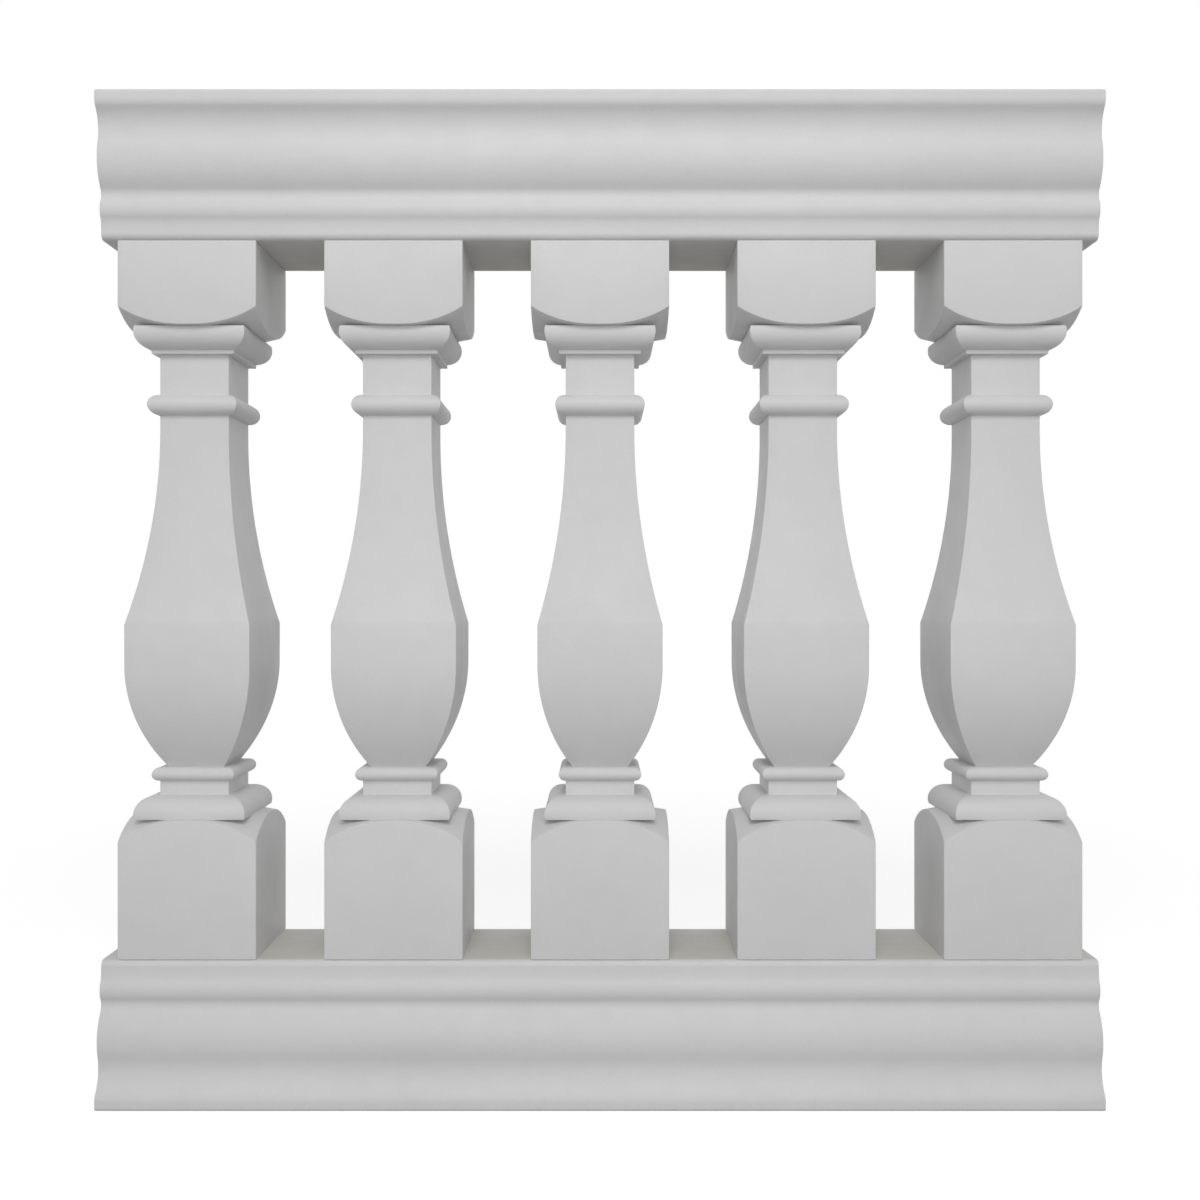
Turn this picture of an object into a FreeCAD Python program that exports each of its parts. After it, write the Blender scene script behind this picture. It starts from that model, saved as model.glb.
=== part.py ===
import FreeCAD, Part
import math
import os

# A deck railing section: two moulded rails of one section, the lower one upside down, with
# four-sided balusters between them. A steel pipe runs through each baluster and on into a
# blind bore in either rail, and holds the three together.
# Millimetres. X runs along the rails and Z is up. The origin is the bottom rail's bottom centre.

# Layout
RAIL_LENGTH = 914.4
BALUSTER_COUNT = 5
BALUSTER_HEIGHT = 660.4
END_MARGIN = 14.3  # from the end of the rail to the first block

# Rail section, from the face that the balusters meet
SEAT_WIDTH = 132.0
SEAT_EDGE_RADIUS = 6.0
SEAT_LAND = 2.0  # upright stretch over the rounded edge
FLARE_STEP = 1.5
FLARE_HEIGHT = 10.6
RAIL_BEAD_RISE = 2.9
RAIL_BEAD_HEIGHT = 17.4
HOLLOW_DEPTH = 1.7
HOLLOW_HEIGHT = 10.8
BULGE_STEP = 12.0  # widest place of the bulge, beyond the seat's edge
BULGE_RADIUS = 41.0
BULGE_FOOT = 26.2  # from the widest place back to the hollow
COVE_DEPTH = 4.2  # narrowest place of the cove, inside the bulge
COVE_RADIUS = 29.2
COVE_RISE = 20.9  # from the narrowest place on to the lip
LIP_STEP = 1.9
LIP_HEIGHT = 6.3
LIP_FACE = 5.0
LIP_EDGE_RADIUS = 3.0

# Baluster: square blocks, and between them mouldings that are mitred round four corners and
# stand on a neck that is deeper than wide
BLOCK_WIDTH = 127.0
BOTTOM_BLOCK_HEIGHT = 127.8
BOTTOM_SHOULDER_REACH = 44.0  # from a corner of the block in to where its shoulder begins to fall
BOTTOM_SHOULDER_DROP = 20.3  # from the shoulder's flat to the block's corners
TOP_BLOCK_HEIGHT = 76.6
TOP_SHOULDER_REACH = 40.8
TOP_SHOULDER_DROP = 16.7
NECK_WIDTH = 64.2  # along the rail
NECK_DEPTH = 76.2  # from front to back
CUSHION_STEP = 3.3  # from the neck to the middle of the roll
CUSHION_RADIUS = 16.0
CUSHION_FOOT = 5.0  # from the middle of the roll down to its edge
CUSHION_SINK = 0.8  # how far the edge is let into the block
LOWER_NECK_HEIGHT = 13.2
LOWER_BEAD_RADIUS = 6.3
BELLY_FOOT_STEP = 6.1  # from the neck in to the foot of the belly
BELLY_STEP = 25.4  # from the neck out to the widest place
BELLY_HEIGHT = 96.2
BAND_HEIGHT = 37.5  # upright band over the belly
NECK_RUN = 12.8  # upright neck under the upper bead
UPPER_BEAD_RADIUS = 9.5
UPPER_NECK_HEIGHT = 37.6
FILLET_STEP = 6.2
FILLET_HEIGHT = 3.5
OVOLO_STEP = 3.3  # from the neck to the middle of the roll
OVOLO_RADIUS = 16.0
OVOLO_HEAD = 5.0  # from the middle of the roll up to the block
CORE_OVERLAP = 30.0  # how far the moulded middle runs on inside each block

# Pipe and bores
PIPE_DIAMETER = 38.1
PIPE_WALL = 2.1
PIPE_REACH = 43.0  # out of each end of the baluster
BORE_CLEARANCE = 0.3  # all round the pipe
END_CLEARANCE = 1.5  # from the pipe's end to the end of a bore

CUT_OVERRUN = 1.0
QUARTER_TURN = math.pi / 2
HALF_TURN = math.pi
UP = FreeCAD.Vector(0, 0, 1)
ALONG = FreeCAD.Vector(1, 0, 0)
CENTRE = FreeCAD.Vector(0, 0, 0)

bore_radius = PIPE_DIAMETER / 2 + BORE_CLEARANCE
bore_depth = PIPE_REACH + END_CLEARANCE


class Outline:
    """The right-hand side of a symmetrical section, drawn upwards as (half-width, height)."""

    def __init__(self, half_width, height):
        self.edges = []
        self.start = FreeCAD.Vector(half_width, 0, height)
        self.end = self.start

    def line_to(self, half_width, height):
        target = FreeCAD.Vector(half_width, 0, height)
        self.edges.append(Part.LineSegment(self.end, target).toShape())
        self.end = target

    def arc_to(self, half_width, height, turn):
        """A round stretch that turns by this angle: outwards, or hollow where it is negative."""
        target = FreeCAD.Vector(half_width, 0, height)
        chord = target - self.end
        rise = chord.Length / 2 * math.tan(turn / 4)
        outwards = FreeCAD.Vector(chord.z, 0, -chord.x).normalize()
        middle = (self.end + target) * 0.5 + outwards * rise
        self.edges.append(Part.Arc(self.end, middle, target).toShape())
        self.end = target

    def prism(self, length):
        """The whole section as a solid along Y, with its middle at the origin."""
        left_side = [edge.mirror(CENTRE, ALONG) for edge in self.edges]
        ends = []
        for corner in (self.start, self.end):
            other = FreeCAD.Vector(-corner.x, 0, corner.z)
            ends.append(Part.LineSegment(corner, other).toShape())
        wire = Part.Wire(Part.__sortEdges__(self.edges + left_side + ends))
        wire.translate(FreeCAD.Vector(0, -length / 2, 0))
        return Part.Face(wire).extrude(FreeCAD.Vector(0, length, 0))


def upright_turn(step, height):
    """The turn of an arc that is upright at one end and moves sideways by step."""
    return 2 * math.atan2(step, height)


def rise_turn(rise, chord):
    """The turn of an arc that stands out from its chord by rise."""
    return 4 * math.atan2(2 * rise, chord)


def rail_outline():
    """The rail's side, from the baluster seat to the broad outer face."""
    seat_half = SEAT_WIDTH / 2
    outline = Outline(seat_half - SEAT_EDGE_RADIUS, 0)
    outline.arc_to(seat_half, SEAT_EDGE_RADIUS, QUARTER_TURN)

    # Flare and bead
    level = SEAT_EDGE_RADIUS + SEAT_LAND
    outline.line_to(seat_half, level)
    level += FLARE_HEIGHT
    flare_half = seat_half + FLARE_STEP
    outline.arc_to(flare_half, level, -upright_turn(FLARE_STEP, FLARE_HEIGHT))
    level += RAIL_BEAD_HEIGHT
    outline.arc_to(flare_half, level, rise_turn(RAIL_BEAD_RISE, RAIL_BEAD_HEIGHT))

    # Hollow, up to the foot of the bulge
    level += HOLLOW_HEIGHT
    bulge_half = seat_half + BULGE_STEP
    bulge_centre = bulge_half - BULGE_RADIUS
    foot_angle = math.asin(BULGE_FOOT / BULGE_RADIUS)
    foot_half = bulge_centre + BULGE_RADIUS * math.cos(foot_angle)
    outline.arc_to(foot_half, level, -rise_turn(HOLLOW_DEPTH, HOLLOW_HEIGHT))

    # Bulge and cove, one flowing into the other
    level += BULGE_FOOT
    flow_angle = math.acos(1 - COVE_DEPTH / (BULGE_RADIUS + COVE_RADIUS))
    flow_half = bulge_centre + BULGE_RADIUS * math.cos(flow_angle)
    flow_level = level + BULGE_RADIUS * math.sin(flow_angle)
    outline.arc_to(flow_half, flow_level, foot_angle + flow_angle)
    cove_centre = bulge_half - COVE_DEPTH + COVE_RADIUS
    level += (BULGE_RADIUS + COVE_RADIUS) * math.sin(flow_angle) + COVE_RISE
    lip_angle = math.asin(COVE_RISE / COVE_RADIUS)
    lip_foot_half = cove_centre - COVE_RADIUS * math.cos(lip_angle)
    outline.arc_to(lip_foot_half, level, -(flow_angle + lip_angle))

    # Lip and outer face
    lip_half = lip_foot_half + LIP_STEP
    level += LIP_HEIGHT
    outline.arc_to(lip_half, level, upright_turn(LIP_STEP, LIP_HEIGHT))
    level += LIP_FACE
    outline.line_to(lip_half, level)
    outline.arc_to(lip_half - LIP_EDGE_RADIUS, level + LIP_EDGE_RADIUS, QUARTER_TURN)
    return outline


def baluster_outline(neck_half):
    """The side of the moulded middle of a baluster, from inside one block to inside the other."""
    level = BOTTOM_BLOCK_HEIGHT - CUSHION_SINK
    outline = Outline(neck_half, level - CORE_OVERLAP)
    outline.line_to(neck_half, level)

    # Cushion, lower neck and lower bead
    cushion_half = neck_half + CUSHION_STEP
    foot_angle = math.asin(CUSHION_FOOT / CUSHION_RADIUS)
    outline.line_to(cushion_half + CUSHION_RADIUS * math.cos(foot_angle), level)
    level += CUSHION_FOOT + CUSHION_RADIUS
    outline.arc_to(cushion_half, level, foot_angle + QUARTER_TURN)
    outline.line_to(neck_half, level)
    level += LOWER_NECK_HEIGHT
    outline.line_to(neck_half, level)
    level += 2 * LOWER_BEAD_RADIUS
    outline.arc_to(neck_half, level, HALF_TURN)

    # Belly and its upright band
    belly_half = neck_half + BELLY_STEP
    belly_foot_half = neck_half - BELLY_FOOT_STEP
    outline.line_to(belly_foot_half, level)
    level += BELLY_HEIGHT
    outline.arc_to(belly_half, level, upright_turn(belly_half - belly_foot_half, BELLY_HEIGHT))
    level += BAND_HEIGHT
    outline.line_to(belly_half, level)

    # Tapered shaft, which takes up whatever height the rest leaves
    block_level = BALUSTER_HEIGHT - TOP_BLOCK_HEIGHT
    roll_angle = math.asin((FILLET_STEP - OVOLO_STEP) / OVOLO_RADIUS)
    ovolo_level = block_level - OVOLO_HEAD - OVOLO_RADIUS * math.cos(roll_angle)
    fillet_level = ovolo_level - FILLET_HEIGHT
    bead_level = fillet_level - UPPER_NECK_HEIGHT - 2 * UPPER_BEAD_RADIUS
    shaft_height = bead_level - NECK_RUN - level
    outline.arc_to(neck_half, bead_level - NECK_RUN, -upright_turn(belly_half - neck_half, shaft_height))
    outline.line_to(neck_half, bead_level)

    # Upper bead and neck
    outline.arc_to(neck_half, bead_level + 2 * UPPER_BEAD_RADIUS, HALF_TURN)
    outline.line_to(neck_half, fillet_level)

    # Fillet and ovolo under the top block
    fillet_half = neck_half + FILLET_STEP
    outline.line_to(fillet_half, fillet_level)
    outline.line_to(fillet_half, ovolo_level)
    head_angle = math.asin(OVOLO_HEAD / OVOLO_RADIUS)
    ovolo_head_half = neck_half + OVOLO_STEP + OVOLO_RADIUS * math.cos(head_angle)
    outline.arc_to(ovolo_head_half, block_level, QUARTER_TURN - roll_angle + head_angle)
    outline.line_to(neck_half, block_level)
    outline.line_to(neck_half, block_level + CORE_OVERLAP)
    return outline


def quarter_turned(solid):
    """A copy of a solid, turned a quarter turn about the upright axis."""
    turned = solid.copy()
    turned.rotate(CENTRE, UP, 90)
    return turned


def turned_over(solid):
    """A copy of a solid, turned upside down about the X axis."""
    turned = solid.copy()
    turned.rotate(CENTRE, ALONG, 180)
    return turned


def shouldered_block(height, reach, drop):
    """A square block on the XY plane. Its top is flat, and falls away in an arc to each corner."""
    half = BLOCK_WIDTH / 2
    corner = half * math.sqrt(2)
    arc_radius = (reach**2 + drop**2) / (2 * drop)

    # The section across two corners is a vault, carried on a little past them
    rim = corner + CUT_OVERRUN
    rim_angle = math.asin((reach + CUT_OVERRUN) / arc_radius)
    section = Outline(rim, -CUT_OVERRUN)
    section.line_to(rim, height - arc_radius * (1 - math.cos(rim_angle)))
    section.arc_to(corner - reach, height, rim_angle)
    vault = section.prism(2 * rim)
    vault.rotate(CENTRE, UP, 45)

    square = Part.makeBox(BLOCK_WIDTH, BLOCK_WIDTH, height + CUT_OVERRUN, FreeCAD.Vector(-half, -half, 0))
    return square.common(vault).common(quarter_turned(vault))


def make_baluster():
    """A baluster on the XY plane, bored through for its pipe."""
    along_rail = baluster_outline(NECK_WIDTH / 2).prism(2 * BLOCK_WIDTH)
    across_rail = quarter_turned(baluster_outline(NECK_DEPTH / 2).prism(2 * BLOCK_WIDTH))
    middle = along_rail.common(across_rail)
    bottom_block = shouldered_block(BOTTOM_BLOCK_HEIGHT, BOTTOM_SHOULDER_REACH, BOTTOM_SHOULDER_DROP)
    top_block = turned_over(shouldered_block(TOP_BLOCK_HEIGHT, TOP_SHOULDER_REACH, TOP_SHOULDER_DROP))
    top_block.translate(UP * BALUSTER_HEIGHT)
    whole = middle.fuse([bottom_block, top_block])
    bore = Part.makeCylinder(bore_radius, BALUSTER_HEIGHT + 2 * CUT_OVERRUN, UP * -CUT_OVERRUN)
    return whole.cut(bore).removeSplitter()


def make_rail(places):
    """A rail with its seat on the XY plane and its broad face up, bored where the pipes come."""
    rail = quarter_turned(rail_outline().prism(RAIL_LENGTH))
    for place in places:
        mouth = FreeCAD.Vector(place, 0, -CUT_OVERRUN)
        rail = rail.cut(Part.makeCylinder(bore_radius, bore_depth + CUT_OVERRUN, mouth))
    return rail


def make_pipe():
    """A pipe on the XY plane."""
    length = BALUSTER_HEIGHT + 2 * PIPE_REACH
    outside = Part.makeCylinder(PIPE_DIAMETER / 2, length)
    inside = Part.makeCylinder(PIPE_DIAMETER / 2 - PIPE_WALL, length + 2 * CUT_OVERRUN, UP * -CUT_OVERRUN)
    return outside.cut(inside)


def baluster_places():
    """Where the balusters stand along the rail."""
    last = RAIL_LENGTH / 2 - END_MARGIN - BLOCK_WIDTH / 2
    spacing = 2 * last / (BALUSTER_COUNT - 1)
    return [-last + number * spacing for number in range(BALUSTER_COUNT)]


def save(solid, node, place):
    """Write a copy of a solid, moved to its place, as the named node."""
    moved = solid.copy()
    moved.translate(place)
    moved.exportStep(os.path.join("parts", node + ".step"))


def main():
    os.makedirs("parts", exist_ok=True)
    places = baluster_places()
    rail = make_rail(places)
    rail_height = rail.BoundBox.ZMax
    top_seat = rail_height + BALUSTER_HEIGHT
    save(rail, "top_rail", UP * top_seat)
    save(turned_over(rail), "bottom_rail", UP * rail_height)

    baluster = make_baluster()
    pipe = make_pipe()
    pipe_foot = rail_height - bore_depth
    for number, place in enumerate(places, start=1):
        save(baluster, f"baluster_{number}", FreeCAD.Vector(place, 0, rail_height))
        save(pipe, f"steel_pipe_{number}", FreeCAD.Vector(place, 0, pipe_foot))


main()
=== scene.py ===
import math

import bmesh
import bpy
from mathutils import Matrix, Vector


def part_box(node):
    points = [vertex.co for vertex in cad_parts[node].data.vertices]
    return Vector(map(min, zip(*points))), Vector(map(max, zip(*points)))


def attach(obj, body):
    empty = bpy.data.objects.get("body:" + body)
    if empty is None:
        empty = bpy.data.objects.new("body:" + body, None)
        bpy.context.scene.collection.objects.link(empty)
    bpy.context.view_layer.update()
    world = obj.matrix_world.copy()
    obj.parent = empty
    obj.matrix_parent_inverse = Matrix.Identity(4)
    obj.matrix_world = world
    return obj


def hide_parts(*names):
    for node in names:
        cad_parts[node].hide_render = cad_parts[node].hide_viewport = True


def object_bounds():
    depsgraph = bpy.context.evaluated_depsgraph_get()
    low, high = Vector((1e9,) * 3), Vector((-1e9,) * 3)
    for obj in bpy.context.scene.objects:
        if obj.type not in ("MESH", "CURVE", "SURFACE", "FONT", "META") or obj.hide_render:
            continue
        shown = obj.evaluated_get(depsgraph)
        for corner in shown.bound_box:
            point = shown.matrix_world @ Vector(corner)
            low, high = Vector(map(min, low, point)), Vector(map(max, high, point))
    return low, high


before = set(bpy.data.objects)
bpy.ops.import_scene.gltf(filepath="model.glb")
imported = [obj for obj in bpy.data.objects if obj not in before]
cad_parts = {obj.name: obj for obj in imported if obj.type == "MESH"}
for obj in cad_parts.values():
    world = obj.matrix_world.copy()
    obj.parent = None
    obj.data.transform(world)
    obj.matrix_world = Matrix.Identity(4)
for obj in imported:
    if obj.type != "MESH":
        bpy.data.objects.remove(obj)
cad_low, cad_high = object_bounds()

# Rail section in metres, from the face that the balusters meet
SEAT_WIDTH = 0.132
SEAT_EDGE_RADIUS = 0.006
SEAT_LAND = 0.002  # upright stretch over the rounded edge
FLARE_STEP = 0.0015
FLARE_HEIGHT = 0.0106
RAIL_BEAD_RISE = 0.0029
RAIL_BEAD_HEIGHT = 0.0174
HOLLOW_DEPTH = 0.0017
HOLLOW_HEIGHT = 0.0108
BULGE_STEP = 0.012  # widest place of the bulge, beyond the seat's edge
BULGE_RADIUS = 0.041
BULGE_FOOT = 0.0262  # from the widest place back to the hollow
COVE_DEPTH = 0.0042  # narrowest place of the cove, inside the bulge
COVE_RADIUS = 0.0292
COVE_RISE = 0.0209  # from the narrowest place on to the lip
LIP_STEP = 0.0019
LIP_HEIGHT = 0.0063
LIP_FACE = 0.005
LIP_EDGE_RADIUS = 0.003

# Baluster: square blocks, and between them mouldings that are mitred round four corners and
# stand on a neck that is deeper than wide
BOTTOM_BLOCK_HEIGHT = 0.1278
BOTTOM_SHOULDER_REACH = 0.044  # from a corner of the block in to where its shoulder begins to fall
BOTTOM_SHOULDER_DROP = 0.0203  # from the shoulder's flat to the block's corners
TOP_BLOCK_HEIGHT = 0.0766
TOP_SHOULDER_REACH = 0.0408
TOP_SHOULDER_DROP = 0.0167
NECK_WIDTH = 0.0642  # along the rail
NECK_DEPTH = 0.0762  # from front to back
CUSHION_STEP = 0.0033  # from the neck to the middle of the roll
CUSHION_RADIUS = 0.016
CUSHION_FOOT = 0.005  # from the middle of the roll down to its edge
CUSHION_SINK = 0.0008  # how far the edge is let into the block
LOWER_NECK_HEIGHT = 0.0132
LOWER_BEAD_RADIUS = 0.0063
BELLY_FOOT_STEP = 0.0061  # from the neck in to the foot of the belly
BELLY_STEP = 0.0254  # from the neck out to the widest place
BELLY_HEIGHT = 0.0962
BAND_HEIGHT = 0.0375  # upright band over the belly
NECK_RUN = 0.0128  # upright neck under the upper bead
UPPER_BEAD_RADIUS = 0.0095
UPPER_NECK_HEIGHT = 0.0376
FILLET_STEP = 0.0062
FILLET_HEIGHT = 0.0035
OVOLO_STEP = 0.0033  # from the neck to the middle of the roll
OVOLO_RADIUS = 0.016
OVOLO_HEAD = 0.005  # from the middle of the roll up to the block
CORE_OVERLAP = 0.03  # how far the moulded middle runs on inside each block
SEAM_OVERLAP = 0.00005  # how far the top block reaches over the head of the moulding

# Bores for the pipes
BORE_RADIUS = 0.01935
RAIL_BORE_DEPTH = 0.0445
BORE_SIDES = 64

# Fineness of the meshes
EDGE_SOFTNESS = 0.0005  # round of the outer edges
SOFT_STEPS = 3
ARC_STEP = math.radians(6)
ARC_LENGTH = 0.005
SIDE_STEPS = 32
SHOULDER_STEPS = 10
SHOULDER_INNER_HALF = 0.03  # where the shoulder's mesh ends, inside the moulded middle
SHARP_ANGLE = math.radians(28)
CUT_OVERRUN = 0.001
SEAT_TOLERANCE = 0.00001  # how near a face of the rail lies to its seat to belong to it

# Primed foam, with grains to the metre
MOTTLE_GRAINS = 7
MOTTLE_TONES = (0.688, 0.712)
CLOUD_GRAINS = 55
CLOUD_SHARES = (0.991, 1.009)
SPECK_GRAINS = 800
SPECK_SHARES = (0.985, 1.015)
SHEEN_GRAINS = 35
PRIMED_ROUGHNESS = (0.52, 0.66)
WAVE_GRAINS = 14
WAVE_DEPTH = 0.0006
PEEL_GRAINS = 380
PEEL_DEPTH = 0.00012

# Bare foam of the rails' seats
SEAT_GRAINS = 60
SEAT_DARK = (0.68, 0.663, 0.618, 1.0)
SEAT_PALE = (0.72, 0.703, 0.658, 1.0)
BARE_ROUGHNESS = (0.70, 0.85)
PORE_GRAINS = 600
PORE_DEPTH = 0.0002

# Galvanised pipe
SPANGLE_GRAINS = 160
SPANGLE_TONES = (0.43, 0.50)
MARK_GRAINS = 900
MARK_STRETCH = (1.0, 1.0, 0.02)  # marks are drawn out along the pipe
MARK_SHARES = (0.97, 1.03)
MARK_DEPTH = 0.00004
PIPE_ROUGHNESS = (0.50, 0.62)

# Camera, straight in front at half the railing's height, as in the photograph
CAMERA_DISTANCE = 1.3931
FIELD_LENS = 43.456
SENSOR = 36.0

# Light
HORIZON_LIGHT = 0.97
ZENITH_LIGHT = 0.15
SHOWN_LIGHT = 1.0  # where the world is seen
KEY_ENERGY = 21.1
KEY_SIZE = 1.1
KEY_PLACE = (0.0, -2.145, 2.26)  # about 40 degrees up
FILL_ENERGY = 7.6
FILL_SIZE = 2.0
FILL_PLACE = (0.0, -2.586, 0.732)
LIGHT_TARGET = (0.0, 0.0, 0.46)

# Floor
FLOOR_SIZE = 30.0
FLOOR_ROUGHNESS = 0.9
FLOOR_BOUNCE = 0.45  # share of the light that the floor gives back to the railing
FLOOR_SHOWN = 0.9  # and to the camera, so that the shadow shows on it
GLOW_RANGE = (1.0, 3.5)  # from the railing's middle, in metres
GLOW = (0.53, 0.64)  # near the railing and far off, added where the floor is seen

# Values of the shader nodes
NOISE_RANGE = (0.3, 0.7)  # usual range of a noise texture
UNIT_RANGE = (0.0, 1.0)
WHITE = (1.0, 1.0, 1.0, 1.0)

QUARTER_TURN = math.pi / 2
HALF_TURN = math.pi
FULL_TURN = 2 * math.pi


class Outline:
    """The right-hand side of a symmetrical section, drawn upwards as (half-width, height)."""

    def __init__(self, half_width, height):
        self.points = [Vector((half_width, height))]

    def line_to(self, half_width, height):
        self.points.append(Vector((half_width, height)))

    def arc_to(self, half_width, height, turn):
        """A round stretch that turns by this angle: outwards, or hollow where it is negative."""
        start = self.points[-1]
        chord = Vector((half_width, height)) - start
        outwards = Vector((chord.y, -chord.x)).normalized()
        radius = chord.length / 2 / math.sin(turn / 2)
        centre = start + chord / 2 - outwards * radius * math.cos(turn / 2)
        steps = math.ceil(max(abs(turn) / ARC_STEP, radius * turn / ARC_LENGTH))
        for step in range(1, steps + 1):
            spoke = Matrix.Rotation(turn * step / steps, 2) @ (start - centre)
            self.points.append(centre + spoke)

    def soften_corners(self):
        """Round the sharp corners that stand out."""
        soft = [self.points[0]]
        for before, corner, after in zip(self.points, self.points[1:], self.points[2:]):
            way_in = corner - before
            way_out = after - corner
            stands_out = way_in.x * way_out.y > way_in.y * way_out.x
            if stands_out and way_in.angle(way_out) > SHARP_ANGLE:
                first = corner - way_in.normalized() * EDGE_SOFTNESS
                last = corner + way_out.normalized() * EDGE_SOFTNESS
                for step in range(SOFT_STEPS + 1):
                    share = step / SOFT_STEPS
                    soft.append(first.lerp(corner, share).lerp(corner.lerp(last, share), share))
            else:
                soft.append(corner)
        self.points = soft + [self.points[-1]]


def upright_turn(step, height):
    """The turn of an arc that is upright at one end and moves sideways by step."""
    return 2 * math.atan2(step, height)


def rise_turn(rise, chord):
    """The turn of an arc that stands out from its chord by rise."""
    return 4 * math.atan2(2 * rise, chord)


def add_flare_and_bead(outline, level):
    """The rail's side from its upright land to the head of the bead. Returns the level there."""
    seat_half = SEAT_WIDTH / 2
    level += SEAT_LAND
    outline.line_to(seat_half, level)
    level += FLARE_HEIGHT
    flare_half = seat_half + FLARE_STEP
    outline.arc_to(flare_half, level, -upright_turn(FLARE_STEP, FLARE_HEIGHT))
    level += RAIL_BEAD_HEIGHT
    outline.arc_to(flare_half, level, rise_turn(RAIL_BEAD_RISE, RAIL_BEAD_HEIGHT))
    return level


def add_bulge_and_cove(outline, level):
    """The hollow, and the bulge that flows into the cove. Returns the half-width and level at its end."""
    level += HOLLOW_HEIGHT
    bulge_half = SEAT_WIDTH / 2 + BULGE_STEP
    bulge_centre = bulge_half - BULGE_RADIUS
    foot_angle = math.asin(BULGE_FOOT / BULGE_RADIUS)
    foot_half = bulge_centre + BULGE_RADIUS * math.cos(foot_angle)
    outline.arc_to(foot_half, level, -rise_turn(HOLLOW_DEPTH, HOLLOW_HEIGHT))

    # Bulge, up to where the cove takes over
    level += BULGE_FOOT
    flow_angle = math.acos(1 - COVE_DEPTH / (BULGE_RADIUS + COVE_RADIUS))
    flow_half = bulge_centre + BULGE_RADIUS * math.cos(flow_angle)
    flow_level = level + BULGE_RADIUS * math.sin(flow_angle)
    outline.arc_to(flow_half, flow_level, foot_angle + flow_angle)

    # Cove, up to the lip
    cove_centre = bulge_half - COVE_DEPTH + COVE_RADIUS
    level += (BULGE_RADIUS + COVE_RADIUS) * math.sin(flow_angle) + COVE_RISE
    lip_angle = math.asin(COVE_RISE / COVE_RADIUS)
    lip_foot_half = cove_centre - COVE_RADIUS * math.cos(lip_angle)
    outline.arc_to(lip_foot_half, level, -(flow_angle + lip_angle))
    return lip_foot_half, level


def rail_outline():
    """The rail's side, from the baluster seat to the broad outer face."""
    seat_half = SEAT_WIDTH / 2
    outline = Outline(seat_half - SEAT_EDGE_RADIUS, 0)
    outline.arc_to(seat_half, SEAT_EDGE_RADIUS, QUARTER_TURN)
    bead_level = add_flare_and_bead(outline, SEAT_EDGE_RADIUS)
    lip_foot_half, level = add_bulge_and_cove(outline, bead_level)

    # Lip and outer face
    lip_half = lip_foot_half + LIP_STEP
    level += LIP_HEIGHT
    outline.arc_to(lip_half, level, upright_turn(LIP_STEP, LIP_HEIGHT))
    level += LIP_FACE
    outline.line_to(lip_half, level)
    outline.arc_to(lip_half - LIP_EDGE_RADIUS, level + LIP_EDGE_RADIUS, QUARTER_TURN)
    return outline.points


def add_cushion_and_bead(outline, neck_half):
    """The cushion on the bottom block, the lower neck and the lower bead. Returns the level over it."""
    level = BOTTOM_BLOCK_HEIGHT - CUSHION_SINK
    outline.line_to(neck_half, level)
    cushion_half = neck_half + CUSHION_STEP
    foot_angle = math.asin(CUSHION_FOOT / CUSHION_RADIUS)
    outline.line_to(cushion_half + CUSHION_RADIUS * math.cos(foot_angle), level)
    level += CUSHION_FOOT + CUSHION_RADIUS
    outline.arc_to(cushion_half, level, foot_angle + QUARTER_TURN)
    outline.line_to(neck_half, level)
    level += LOWER_NECK_HEIGHT
    outline.line_to(neck_half, level)
    level += 2 * LOWER_BEAD_RADIUS
    outline.arc_to(neck_half, level, HALF_TURN)
    return level


def add_belly_and_shaft(outline, neck_half, level, bead_level):
    """The belly with its upright band, and the tapered shaft, which takes up what height is left."""
    belly_half = neck_half + BELLY_STEP
    belly_foot_half = neck_half - BELLY_FOOT_STEP
    outline.line_to(belly_foot_half, level)
    level += BELLY_HEIGHT
    outline.arc_to(belly_half, level, upright_turn(belly_half - belly_foot_half, BELLY_HEIGHT))
    level += BAND_HEIGHT
    outline.line_to(belly_half, level)
    shaft_height = bead_level - NECK_RUN - level
    shaft_turn = upright_turn(belly_half - neck_half, shaft_height)
    outline.arc_to(neck_half, bead_level - NECK_RUN, -shaft_turn)
    outline.line_to(neck_half, bead_level)


def baluster_outline(baluster_height):
    """The side of the moulded middle of a baluster, seen from the front, from block to block."""
    neck_half = NECK_WIDTH / 2
    block_level = baluster_height - TOP_BLOCK_HEIGHT
    roll_angle = math.asin((FILLET_STEP - OVOLO_STEP) / OVOLO_RADIUS)
    ovolo_level = block_level - OVOLO_HEAD - OVOLO_RADIUS * math.cos(roll_angle)
    fillet_level = ovolo_level - FILLET_HEIGHT
    bead_level = fillet_level - UPPER_NECK_HEIGHT - 2 * UPPER_BEAD_RADIUS

    outline = Outline(neck_half, BOTTOM_BLOCK_HEIGHT - CUSHION_SINK - CORE_OVERLAP)
    belly_level = add_cushion_and_bead(outline, neck_half)
    add_belly_and_shaft(outline, neck_half, belly_level, bead_level)

    # Upper bead and neck
    outline.arc_to(neck_half, bead_level + 2 * UPPER_BEAD_RADIUS, HALF_TURN)
    outline.line_to(neck_half, fillet_level)

    # Fillet and ovolo under the top block
    fillet_half = neck_half + FILLET_STEP
    outline.line_to(fillet_half, fillet_level)
    outline.line_to(fillet_half, ovolo_level)
    head_angle = math.asin(OVOLO_HEAD / OVOLO_RADIUS)
    ovolo_head_half = neck_half + OVOLO_STEP + OVOLO_RADIUS * math.cos(head_angle)
    outline.arc_to(ovolo_head_half, block_level, QUARTER_TURN - roll_angle + head_angle)
    outline.line_to(neck_half, block_level)
    outline.line_to(neck_half, block_level + CORE_OVERLAP)
    outline.soften_corners()
    return outline.points


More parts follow.
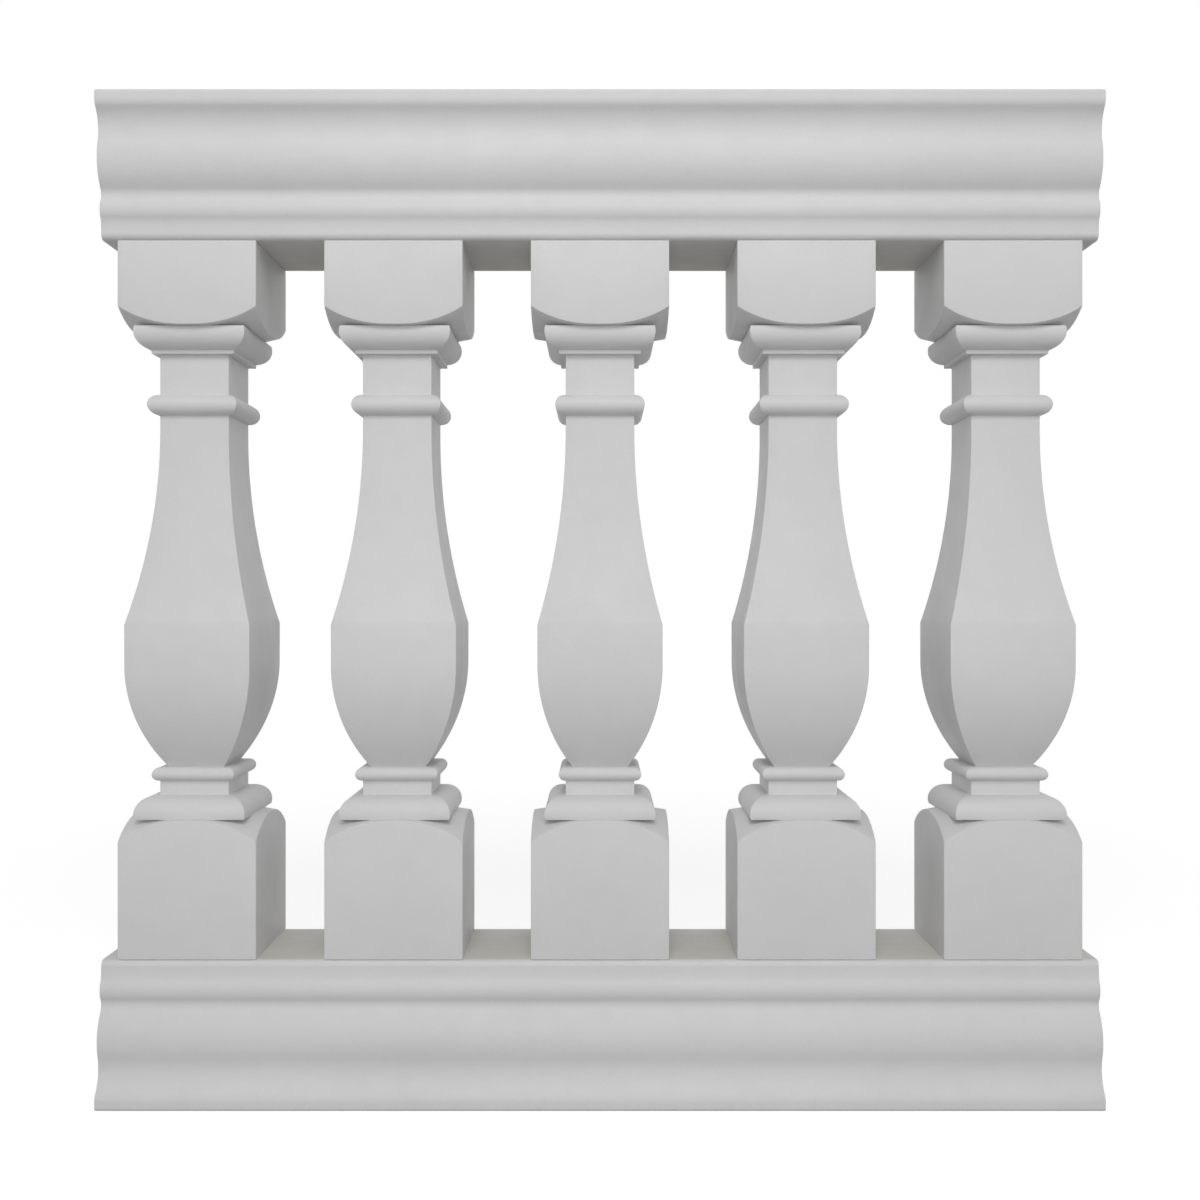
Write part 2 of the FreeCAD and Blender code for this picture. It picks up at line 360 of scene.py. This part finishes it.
def soft_angles():
    """The angles of the steps round a softened edge."""
    return [QUARTER_TURN * step / SOFT_STEPS for step in range(SOFT_STEPS + 1)]


def plan_ring(half_width, half_depth, side_steps):
    """A rectangle with softened corners, in plan, as (x, y) points that run anticlockwise."""
    corners = []
    for number, (right, back) in enumerate([(1, 1), (-1, 1), (-1, -1), (1, -1)]):
        middle = Vector((right * (half_width - EDGE_SOFTNESS), back * (half_depth - EDGE_SOFTNESS)))
        corner = []
        for step in range(SOFT_STEPS + 1):
            angle = QUARTER_TURN * (number + step / SOFT_STEPS)
            corner.append(middle + EDGE_SOFTNESS * Vector((math.cos(angle), math.sin(angle))))
        corners.append(corner)
    ring = []
    for corner, following in zip(corners, corners[1:] + corners[:1]):
        ring += corner
        ring += [corner[-1].lerp(following[0], step / side_steps) for step in range(1, side_steps)]
    return ring


def mesh_from_rings(name, rings):
    """A closed mesh through rings of equal length, with a flat face over the first and the last."""
    size = len(rings[0])
    points = [point for ring in rings for point in ring]
    faces = [tuple(reversed(range(size))), tuple(range(len(points) - size, len(points)))]
    for row in range(len(rings) - 1):
        for column in range(size):
            following = (column + 1) % size
            below = row * size
            above = below + size
            faces.append((below + column, below + following, above + following, above + column))
    mesh = bpy.data.meshes.new(name)
    mesh.from_pydata(points, [], faces)
    return mesh


def foot_rings(half_width):
    """Rings over a block's softened foot edge, up to its upright sides."""
    rings = []
    for angle in soft_angles():
        inner_half = half_width - EDGE_SOFTNESS * (1 - math.sin(angle))
        level = Vector((0, 0, EDGE_SOFTNESS * (1 - math.cos(angle))))
        rings.append([point.to_3d() + level for point in plan_ring(inner_half, inner_half, SIDE_STEPS)])
    return rings


def shoulder_rings(half_width, height, reach, drop):
    """Rings over the edge between a block's sides and its shoulder, and over the shoulder itself."""
    insets = []
    for angle in soft_angles():
        insets.append((EDGE_SOFTNESS * (1 - math.cos(angle)), EDGE_SOFTNESS * (1 - math.sin(angle))))
    shoulder_run = half_width - SHOULDER_INNER_HALF - EDGE_SOFTNESS
    for step in range(1, SHOULDER_STEPS + 1):
        insets.append((EDGE_SOFTNESS + shoulder_run * step / SHOULDER_STEPS, 0.0))

    # The shoulder falls in an arc along each diagonal
    arc_radius = (reach**2 + drop**2) / (2 * drop)
    flat_half = half_width * math.sqrt(2) - reach
    rings = []
    for inset, sunk in insets:
        ring = []
        for point in plan_ring(half_width - inset, half_width - inset, SIDE_STEPS):
            past_flat = max(0.0, (abs(point.x) + abs(point.y)) / math.sqrt(2) - flat_half)
            fall = arc_radius - math.sqrt(arc_radius**2 - past_flat**2)
            ring.append(Vector((point.x, point.y, height - fall - sunk)))
        rings.append(ring)
    return rings


def block_mesh(half_width, height, reach, drop):
    """A square block on the XY plane. Its top is flat, and falls away in an arc to each corner."""
    rings = foot_rings(half_width) + shoulder_rings(half_width, height, reach, drop)
    mesh = mesh_from_rings("block", rings)

    # The shoulder's faces aren't flat, so they are split into triangles
    surface = bmesh.new()
    surface.from_mesh(mesh)
    bmesh.ops.triangulate(surface, faces=[face for face in surface.faces if len(face.verts) == 4])
    surface.to_mesh(mesh)
    surface.free()
    return mesh


def pipe_bore(place, low, high):
    """A round cutter along Z, for a pipe's bore."""
    rings = []
    for level in (low, high):
        ring = []
        for side in range(BORE_SIDES):
            angle = FULL_TURN * side / BORE_SIDES
            x = place + BORE_RADIUS * math.cos(angle)
            y = BORE_RADIUS * math.sin(angle)
            ring.append(Vector((x, y, level)))
        rings.append(ring)
    return mesh_from_rings("bore", rings)


def combined(base, others, operation):
    """A mesh with others joined to it or cut out of it, which are all used up."""
    helpers = []
    for mesh in [base] + others:
        helper = bpy.data.objects.new(mesh.name, mesh)
        bpy.context.scene.collection.objects.link(helper)
        helpers.append(helper)
    for helper in helpers[1:]:
        modifier = helpers[0].modifiers.new("combine", "BOOLEAN")
        modifier.operation = operation
        modifier.solver = "EXACT"
        modifier.object = helper
    graph = bpy.context.evaluated_depsgraph_get()
    result = bpy.data.meshes.new_from_object(helpers[0].evaluated_get(graph))
    for helper in helpers:
        bpy.data.objects.remove(helper)
    for mesh in [base] + others:
        bpy.data.meshes.remove(mesh)
    return result


def finished_mesh(mesh, name):
    """Smooth shading over the rounds, with crisp edges."""
    mesh.name = name
    mesh.shade_smooth()
    mesh.set_sharp_from_angle(angle=SHARP_ANGLE)
    return mesh


def baluster_mesh(width, height):
    """A baluster on the XY plane: two shouldered blocks, with a mitred moulding between them."""
    rings = []
    deeper = (NECK_DEPTH - NECK_WIDTH) / 2
    for half_width, level in baluster_outline(height):
        ring = plan_ring(half_width, half_width + deeper, 1)
        rings.append([point.to_3d() + Vector((0, 0, level)) for point in ring])
    middle = mesh_from_rings("middle", rings)
    bottom_block = block_mesh(width / 2, BOTTOM_BLOCK_HEIGHT, BOTTOM_SHOULDER_REACH, BOTTOM_SHOULDER_DROP)
    top_height = TOP_BLOCK_HEIGHT + SEAM_OVERLAP
    top_block = block_mesh(width / 2, top_height, TOP_SHOULDER_REACH, TOP_SHOULDER_DROP)
    top_block.transform(Matrix.Translation((0, 0, height)) @ Matrix.Rotation(HALF_TURN, 4, "X"))
    whole = combined(middle, [bottom_block, top_block], "UNION")
    bore = pipe_bore(0.0, -CUT_OVERRUN, height + CUT_OVERRUN)
    return finished_mesh(combined(whole, [bore], "DIFFERENCE"), "moulded_baluster")


def shrunk(loop, inset):
    """A closed loop of plane points, anticlockwise, drawn in by this much all round."""
    result = []
    for before, point, after in zip(loop[-1:] + loop[:-1], loop, loop[1:] + loop[:1]):
        way_in = (point - before).normalized()
        way_out = (after - point).normalized()
        inwards = Vector((-way_in.y - way_out.y, way_in.x + way_out.x))
        result.append(point + inwards * inset / (1 + way_in.dot(way_out)))
    return result


def rail_mesh(length, bore_places):
    """A rail with its seat on the XY plane and its broad face up, bored where the pipes come."""
    right = rail_outline()
    loop = right + [Vector((-point.x, point.y)) for point in reversed(right)]
    rings = []
    for end, angles in ((-1, soft_angles()), (1, reversed(soft_angles()))):
        for angle in angles:
            place = end * (length / 2 - EDGE_SOFTNESS * (1 - math.cos(angle)))
            outline = shrunk(loop, EDGE_SOFTNESS * (1 - math.sin(angle)))
            rings.append([Vector((place, point.x, point.y)) for point in outline])
    solid = mesh_from_rings("rail", rings)
    bores = [pipe_bore(place, -CUT_OVERRUN, RAIL_BORE_DEPTH) for place in bore_places]
    return finished_mesh(combined(solid, bores, "DIFFERENCE"), "moulded_rail")


def add_piece(name, mesh, node, material):
    """A moulded piece that stands for a CAD node."""
    piece = bpy.data.objects.new(name, mesh)
    bpy.context.scene.collection.objects.link(piece)
    mesh.materials.clear()
    mesh.materials.append(material)
    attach(piece, "root")
    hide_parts(node)


def leave_bare(mesh, seat_level, bare_foam):
    """Show the bare foam on a rail's seat."""
    mesh.materials.append(bare_foam)
    for face in mesh.polygons:
        if abs(face.center.z - seat_level) < SEAT_TOLERANCE:
            face.material_index = 1


def make_balusters(primed_foam):
    """The balusters, each where its node is. Returns their places along the rails."""
    places = []
    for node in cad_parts:
        if node.startswith("baluster"):
            low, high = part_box(node)
            place = (low.x + high.x) / 2
            mesh = baluster_mesh(high.x - low.x, high.z - low.z)
            mesh.transform(Matrix.Translation((place, 0, low.z)))
            add_piece("moulded_" + node, mesh, node, primed_foam)
            places.append(place)
    return places


def make_rails(primed_foam, bare_foam, bore_places):
    """The top rail, and the bottom rail, which is the same upside down."""
    top_low, top_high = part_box("top_rail")
    seats = {"top_rail": (top_low.z, 0.0), "bottom_rail": (top_high.z - top_low.z, HALF_TURN)}
    for node, (seat_level, turn) in seats.items():
        mesh = rail_mesh(top_high.x - top_low.x, bore_places)
        mesh.transform(Matrix.Translation((0, 0, seat_level)) @ Matrix.Rotation(turn, 4, "X"))
        add_piece("moulded_" + node, mesh, node, primed_foam)
        leave_bare(mesh, seat_level, bare_foam)


def dress_nodes(primed_foam, galvanised):
    """Give each CAD node its material."""
    for name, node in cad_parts.items():
        node.data.materials.clear()
        node.data.materials.append(galvanised if name.startswith("steel_pipe") else primed_foam)


def new_material(name):
    """A material's node tree, its shader and its coordinates in metres."""
    material = bpy.data.materials.new(name)
    material.use_nodes = True
    tree = material.node_tree
    place = tree.nodes.new("ShaderNodeTexCoord").outputs["Object"]
    return material, tree, tree.nodes["Principled BSDF"], place


def noise(tree, place, grains, detail):
    """Cloudy noise, with this many grains to the metre."""
    node = tree.nodes.new("ShaderNodeTexNoise")
    node.inputs["Scale"].default_value = grains
    node.inputs["Detail"].default_value = detail
    tree.links.new(place, node.inputs["Vector"])
    return node.outputs["Fac"]


def mapped(tree, value, span, ends):
    """A value that runs over a span, mapped so that it runs between these ends."""
    node = tree.nodes.new("ShaderNodeMapRange")
    for name, number in zip(("From Min", "From Max", "To Min", "To Max"), span + ends):
        node.inputs[name].default_value = number
    tree.links.new(value, node.inputs["Value"])
    return node.outputs["Result"]


def spread(tree, value, ends):
    """A noise's usual range, spread between these ends."""
    return mapped(tree, value, NOISE_RANGE, ends)


def product(tree, first, second):
    """Two values, multiplied."""
    node = tree.nodes.new("ShaderNodeMath")
    node.operation = "MULTIPLY"
    tree.links.new(first, node.inputs[0])
    tree.links.new(second, node.inputs[1])
    return node.outputs[0]


def bumps(tree, height, depth, under=None):
    """A surface as rough as this height, given in shares of a depth in metres, over other bumps."""
    node = tree.nodes.new("ShaderNodeBump")
    node.inputs["Distance"].default_value = depth
    tree.links.new(height, node.inputs["Height"])
    if under:
        tree.links.new(under, node.inputs["Normal"])
    return node.outputs["Normal"]


def moulding_material():
    """Primed moulded foam: matte and pale, faintly mottled, with an orange peel and shallow waves."""
    material, tree, shader, place = new_material("moulding")
    mottle = spread(tree, noise(tree, place, MOTTLE_GRAINS, detail=3), MOTTLE_TONES)
    cloud = spread(tree, noise(tree, place, CLOUD_GRAINS, detail=2), CLOUD_SHARES)
    speck = spread(tree, noise(tree, place, SPECK_GRAINS, detail=2), SPECK_SHARES)
    tone = product(tree, product(tree, mottle, cloud), speck)
    sheen = spread(tree, noise(tree, place, SHEEN_GRAINS, detail=3), PRIMED_ROUGHNESS)
    waves = bumps(tree, noise(tree, place, WAVE_GRAINS, detail=1), WAVE_DEPTH)
    peel = bumps(tree, noise(tree, place, PEEL_GRAINS, detail=1), PEEL_DEPTH, waves)
    tree.links.new(tone, shader.inputs["Base Color"])
    tree.links.new(sheen, shader.inputs["Roughness"])
    tree.links.new(peel, shader.inputs["Normal"])
    return material


def seat_material():
    """Bare foam: a little warmer than the primed faces, dull and finely pored."""
    material, tree, shader, place = new_material("bare_foam")
    tone = tree.nodes.new("ShaderNodeValToRGB")
    dark, pale = tone.color_ramp.elements
    dark.position, pale.position = NOISE_RANGE
    dark.color = SEAT_DARK
    pale.color = SEAT_PALE
    tree.links.new(noise(tree, place, SEAT_GRAINS, detail=4), tone.inputs["Fac"])
    sheen = spread(tree, noise(tree, place, SHEEN_GRAINS, detail=3), BARE_ROUGHNESS)
    pores = bumps(tree, noise(tree, place, PORE_GRAINS, detail=2), PORE_DEPTH)
    tree.links.new(tone.outputs["Color"], shader.inputs["Base Color"])
    tree.links.new(sheen, shader.inputs["Roughness"])
    tree.links.new(pores, shader.inputs["Normal"])
    return material


def pipe_material():
    """Galvanised steel: zinc spangle, with faint marks along the pipe from drawing."""
    material, tree, shader, place = new_material("galvanised_pipe")
    shader.inputs["Metallic"].default_value = 1.0
    spangle = tree.nodes.new("ShaderNodeTexVoronoi")
    spangle.inputs["Scale"].default_value = SPANGLE_GRAINS
    tree.links.new(place, spangle.inputs["Vector"])
    stretched = tree.nodes.new("ShaderNodeMapping")
    stretched.inputs["Scale"].default_value = MARK_STRETCH
    tree.links.new(place, stretched.inputs["Vector"])
    marks = noise(tree, stretched.outputs["Vector"], MARK_GRAINS, detail=2)
    flake = spread(tree, spangle.outputs["Color"], SPANGLE_TONES)
    tone = product(tree, flake, spread(tree, marks, MARK_SHARES))
    tree.links.new(tone, shader.inputs["Base Color"])
    tree.links.new(spread(tree, marks, PIPE_ROUGHNESS), shader.inputs["Roughness"])
    tree.links.new(bumps(tree, marks, MARK_DEPTH), shader.inputs["Normal"])
    return material


def seen_rays(tree):
    """1 for rays that show the surroundings, straight or in metal or glass, and 0 for those that light."""
    path = tree.nodes.new("ShaderNodeLightPath")
    seen = path.outputs["Is Camera Ray"]
    for name in ("Is Glossy Ray", "Is Transmission Ray"):
        either = tree.nodes.new("ShaderNodeMath")
        either.operation = "MAXIMUM"
        tree.links.new(seen, either.inputs[0])
        tree.links.new(path.outputs[name], either.inputs[1])
        seen = either.outputs[0]
    return seen


def make_camera():
    """The photograph's view: level, centred, looking along +Y."""
    data = bpy.data.cameras.new("camera")
    data.lens = FIELD_LENS
    data.sensor_width = SENSOR
    camera = bpy.data.objects.new("camera", data)
    camera.location = (0.0, -CAMERA_DISTANCE, (cad_low.z + cad_high.z) / 2)
    camera.rotation_euler = (QUARTER_TURN, 0.0, 0.0)
    bpy.context.scene.collection.objects.link(camera)
    bpy.context.scene.camera = camera


def make_world():
    """White where it shows. Its light on the object is soft, and weaker from overhead."""
    world = bpy.data.worlds.new("studio")
    world.use_nodes = True
    bpy.context.scene.world = world
    tree = world.node_tree
    back = tree.nodes["Background"]
    back.inputs["Color"].default_value = WHITE
    direction = tree.nodes.new("ShaderNodeSeparateXYZ")
    tree.links.new(tree.nodes.new("ShaderNodeTexCoord").outputs["Generated"], direction.inputs["Vector"])
    light = mapped(tree, direction.outputs["Z"], UNIT_RANGE, (HORIZON_LIGHT, ZENITH_LIGHT))
    strength = tree.nodes.new("ShaderNodeMapRange")
    strength.inputs["To Max"].default_value = SHOWN_LIGHT
    tree.links.new(seen_rays(tree), strength.inputs["Value"])
    tree.links.new(light, strength.inputs["To Min"])
    tree.links.new(strength.outputs["Result"], back.inputs["Strength"])


def floor_material():
    """Pale and matte. Where it is seen, a glow makes it white."""
    material, tree, shader, place = new_material("floor")
    shader.inputs["Roughness"].default_value = FLOOR_ROUGHNESS
    shader.inputs["Specular IOR Level"].default_value = 0.0
    shader.inputs["Emission Color"].default_value = WHITE
    seen = seen_rays(tree)
    tone = mapped(tree, seen, UNIT_RANGE, (FLOOR_BOUNCE, FLOOR_SHOWN))
    distance = tree.nodes.new("ShaderNodeVectorMath")
    distance.operation = "LENGTH"
    tree.links.new(place, distance.inputs[0])
    glow = mapped(tree, distance.outputs["Value"], GLOW_RANGE, GLOW)
    tree.links.new(tone, shader.inputs["Base Color"])
    tree.links.new(product(tree, seen, glow), shader.inputs["Emission Strength"])
    return material


def make_floor():
    """A wide pale floor, which keeps the object's shadow."""
    bpy.ops.mesh.primitive_plane_add(size=FLOOR_SIZE)
    floor = bpy.context.object
    floor.name = "floor"
    floor.data.materials.append(floor_material())


def add_lamp(name, energy, size, place):
    """A round soft lamp that points at the railing's middle."""
    data = bpy.data.lights.new(name, "AREA")
    data.shape = "DISK"
    data.size = size
    data.energy = energy
    lamp = bpy.data.objects.new(name, data)
    lamp.location = place
    lamp.rotation_euler = (Vector(LIGHT_TARGET) - lamp.location).to_track_quat("-Z", "Y").to_euler()
    lamp.visible_camera = False
    bpy.context.scene.collection.objects.link(lamp)


def make_lights():
    """A key well above the railing, and a weak fill, both straight in front."""
    add_lamp("key", KEY_ENERGY, KEY_SIZE, KEY_PLACE)
    add_lamp("fill", FILL_ENERGY, FILL_SIZE, FILL_PLACE)


moulding = moulding_material()
dress_nodes(moulding, pipe_material())
baluster_places = make_balusters(moulding)
make_rails(moulding, seat_material(), baluster_places)
make_camera()
make_world()
make_floor()
make_lights()
bpy.context.scene.view_settings.view_transform = "Standard"
